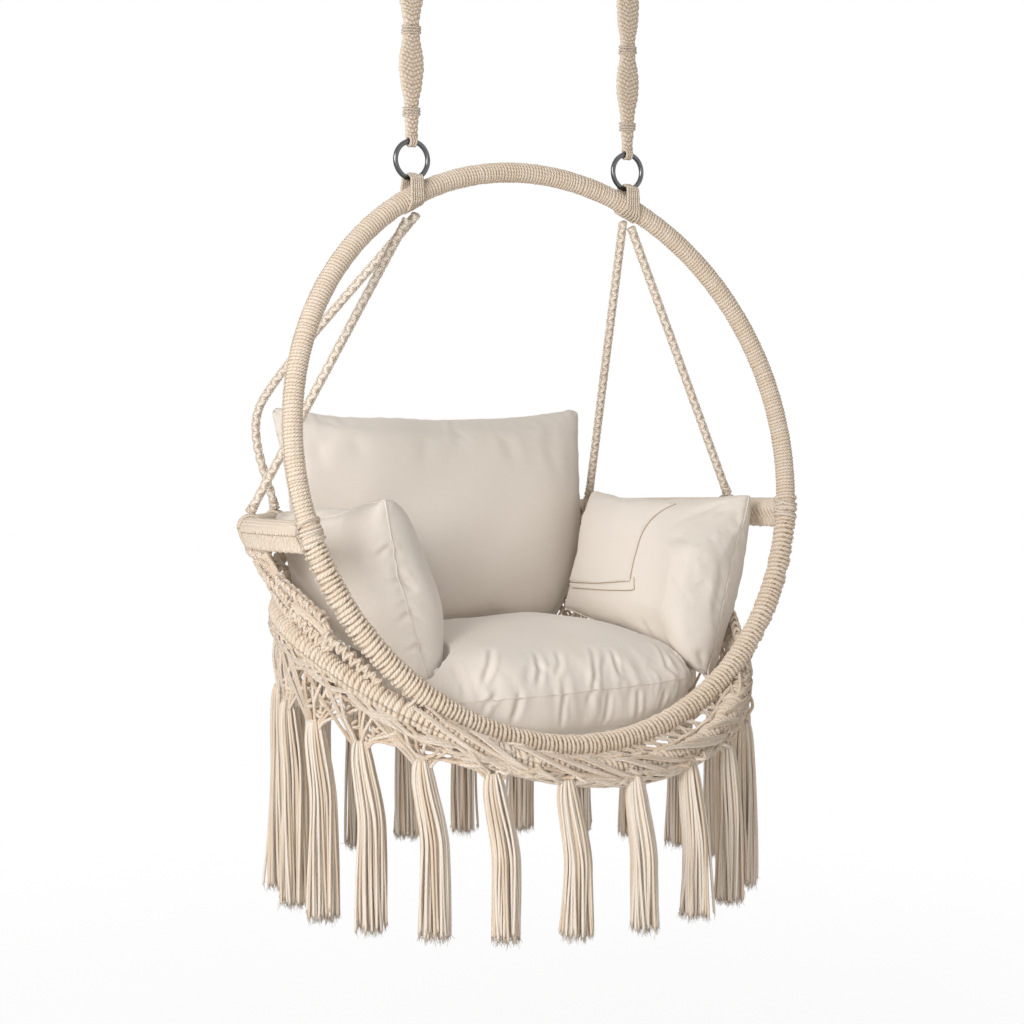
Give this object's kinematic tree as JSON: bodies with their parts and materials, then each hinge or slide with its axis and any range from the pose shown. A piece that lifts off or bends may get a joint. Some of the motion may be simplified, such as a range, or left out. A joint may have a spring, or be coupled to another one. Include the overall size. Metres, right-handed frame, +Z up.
{
  "type": "hanging hammock chair",
  "caption": "Hanging hammock chair: a leaning cord-wrapped hoop with seat rail and base ring, knotted net walls, tassel fringe, loose cushions and strap hangers.",
  "frame": {"origin": "midway between the top faces of the two ceiling plates, in the plane where they meet the ceiling", "axes": "+Z up, +X to the sitter's left as seen from the front (right in the picture), +Y towards the back of the chair"},
  "size_m": [0.931, 0.7968, 1.5592],
  "materials": {
    "polished_steel": "polished round bar",
    "frame_steel": "bare steel, hidden under the cord",
    "cotton_cord": "twisted and braided cotton cord, matt",
    "canvas": "plain cotton canvas, matt"
  },
  "bodies": {
    "ceiling_eyes": {"ceiling_eye_left": "polished_steel", "ceiling_eye_right": "polished_steel"},
    "top_ring_left": {"top_ring_left": "polished_steel"},
    "strap_left": {"strap_left": "cotton_cord"},
    "lower_ring_left": {"lower_ring_left": "polished_steel"},
    "top_ring_right": {"top_ring_right": "polished_steel"},
    "strap_right": {"strap_right": "cotton_cord"},
    "lower_ring_right": {"lower_ring_right": "polished_steel"},
    "chair": {"hoop_lashing_left": "cotton_cord", "hoop_lashing_right": "cotton_cord", "hoop_tube": "frame_steel", "hoop_wrap_upper": "cotton_cord", "hoop_wrap_lower": "cotton_cord", "rail_tube": "frame_steel", "rail_wrap": "cotton_cord", "base_tube": "frame_steel", "base_wrap": "cotton_cord", "wall_net": "cotton_cord", "seat_net": "cotton_cord", "skirt_net": "cotton_cord", "tassel_01": "cotton_cord", "tassel_02": "cotton_cord", "tassel_03": "cotton_cord", "tassel_04": "cotton_cord", "tassel_05": "cotton_cord", "tassel_06": "cotton_cord", "tassel_07": "cotton_cord", "tassel_08": "cotton_cord", "tassel_09": "cotton_cord", "tassel_10": "cotton_cord", "tassel_11": "cotton_cord", "tassel_12": "cotton_cord", "tassel_13": "cotton_cord", "tassel_14": "cotton_cord", "tassel_15": "cotton_cord", "tassel_16": "cotton_cord", "tassel_17": "cotton_cord", "tassel_18": "cotton_cord", "tassel_19": "cotton_cord", "tassel_20": "cotton_cord", "tassel_21": "cotton_cord", "tassel_22": "cotton_cord", "seat_cushion": "canvas", "back_cushion": "canvas", "arm_pillow_left": "canvas", "arm_pillow_right": "canvas", "rope_back_left": "cotton_cord", "tie_back_left": "cotton_cord", "rope_arm_left": "cotton_cord", "tie_arm_left": "cotton_cord", "rope_arm_right": "cotton_cord", "tie_arm_right": "cotton_cord", "rope_back_right": "cotton_cord", "tie_back_right": "cotton_cord"}
  },
  "joints": [
    {"name": "swing", "type": "hinge", "parent": "ceiling_eyes", "child": "top_ring_left", "pos_m": [-0.20058, 0, -0.049], "axis": [1, 0, 0], "range_deg": [-25, 25]},
    {"name": "sway", "type": "hinge", "parent": "top_ring_left", "child": "strap_left", "pos_m": [-0.20058, 0, -0.09665], "axis": [0, 1, 0], "range_deg": [-12, 12]},
    {"name": "level_left", "type": "hinge", "parent": "strap_left", "child": "lower_ring_left", "pos_m": [-0.20058, 0, -0.41795], "axis": [0, 1, 0], "range_deg": [-12, 12]},
    {"name": "swing_right", "type": "hinge", "parent": "ceiling_eyes", "child": "top_ring_right", "pos_m": [0.20058, 0, -0.049], "axis": [1, 0, 0], "range_deg": [-25, 25]},
    {"name": "sway_right", "type": "hinge", "parent": "top_ring_right", "child": "strap_right", "pos_m": [0.20058, 0, -0.09665], "axis": [0, 1, 0], "range_deg": [-12, 12]},
    {"name": "level_right", "type": "hinge", "parent": "strap_right", "child": "lower_ring_right", "pos_m": [0.20058, 0, -0.41795], "axis": [0, 1, 0], "range_deg": [-12, 12]},
    {"name": "rock", "type": "hinge", "parent": "lower_ring_left", "child": "chair", "pos_m": [-0.20058, 0, -0.44595], "axis": [1, 0, 0], "range_deg": [-10, 10]}
  ],
  "couplings": [
    {"joint": "swing_right", "follows": "swing", "ratio": 1},
    {"joint": "sway_right", "follows": "sway", "ratio": 1},
    {"joint": "level_left", "follows": "sway", "ratio": -1},
    {"joint": "level_right", "follows": "sway", "ratio": -1}
  ]
}
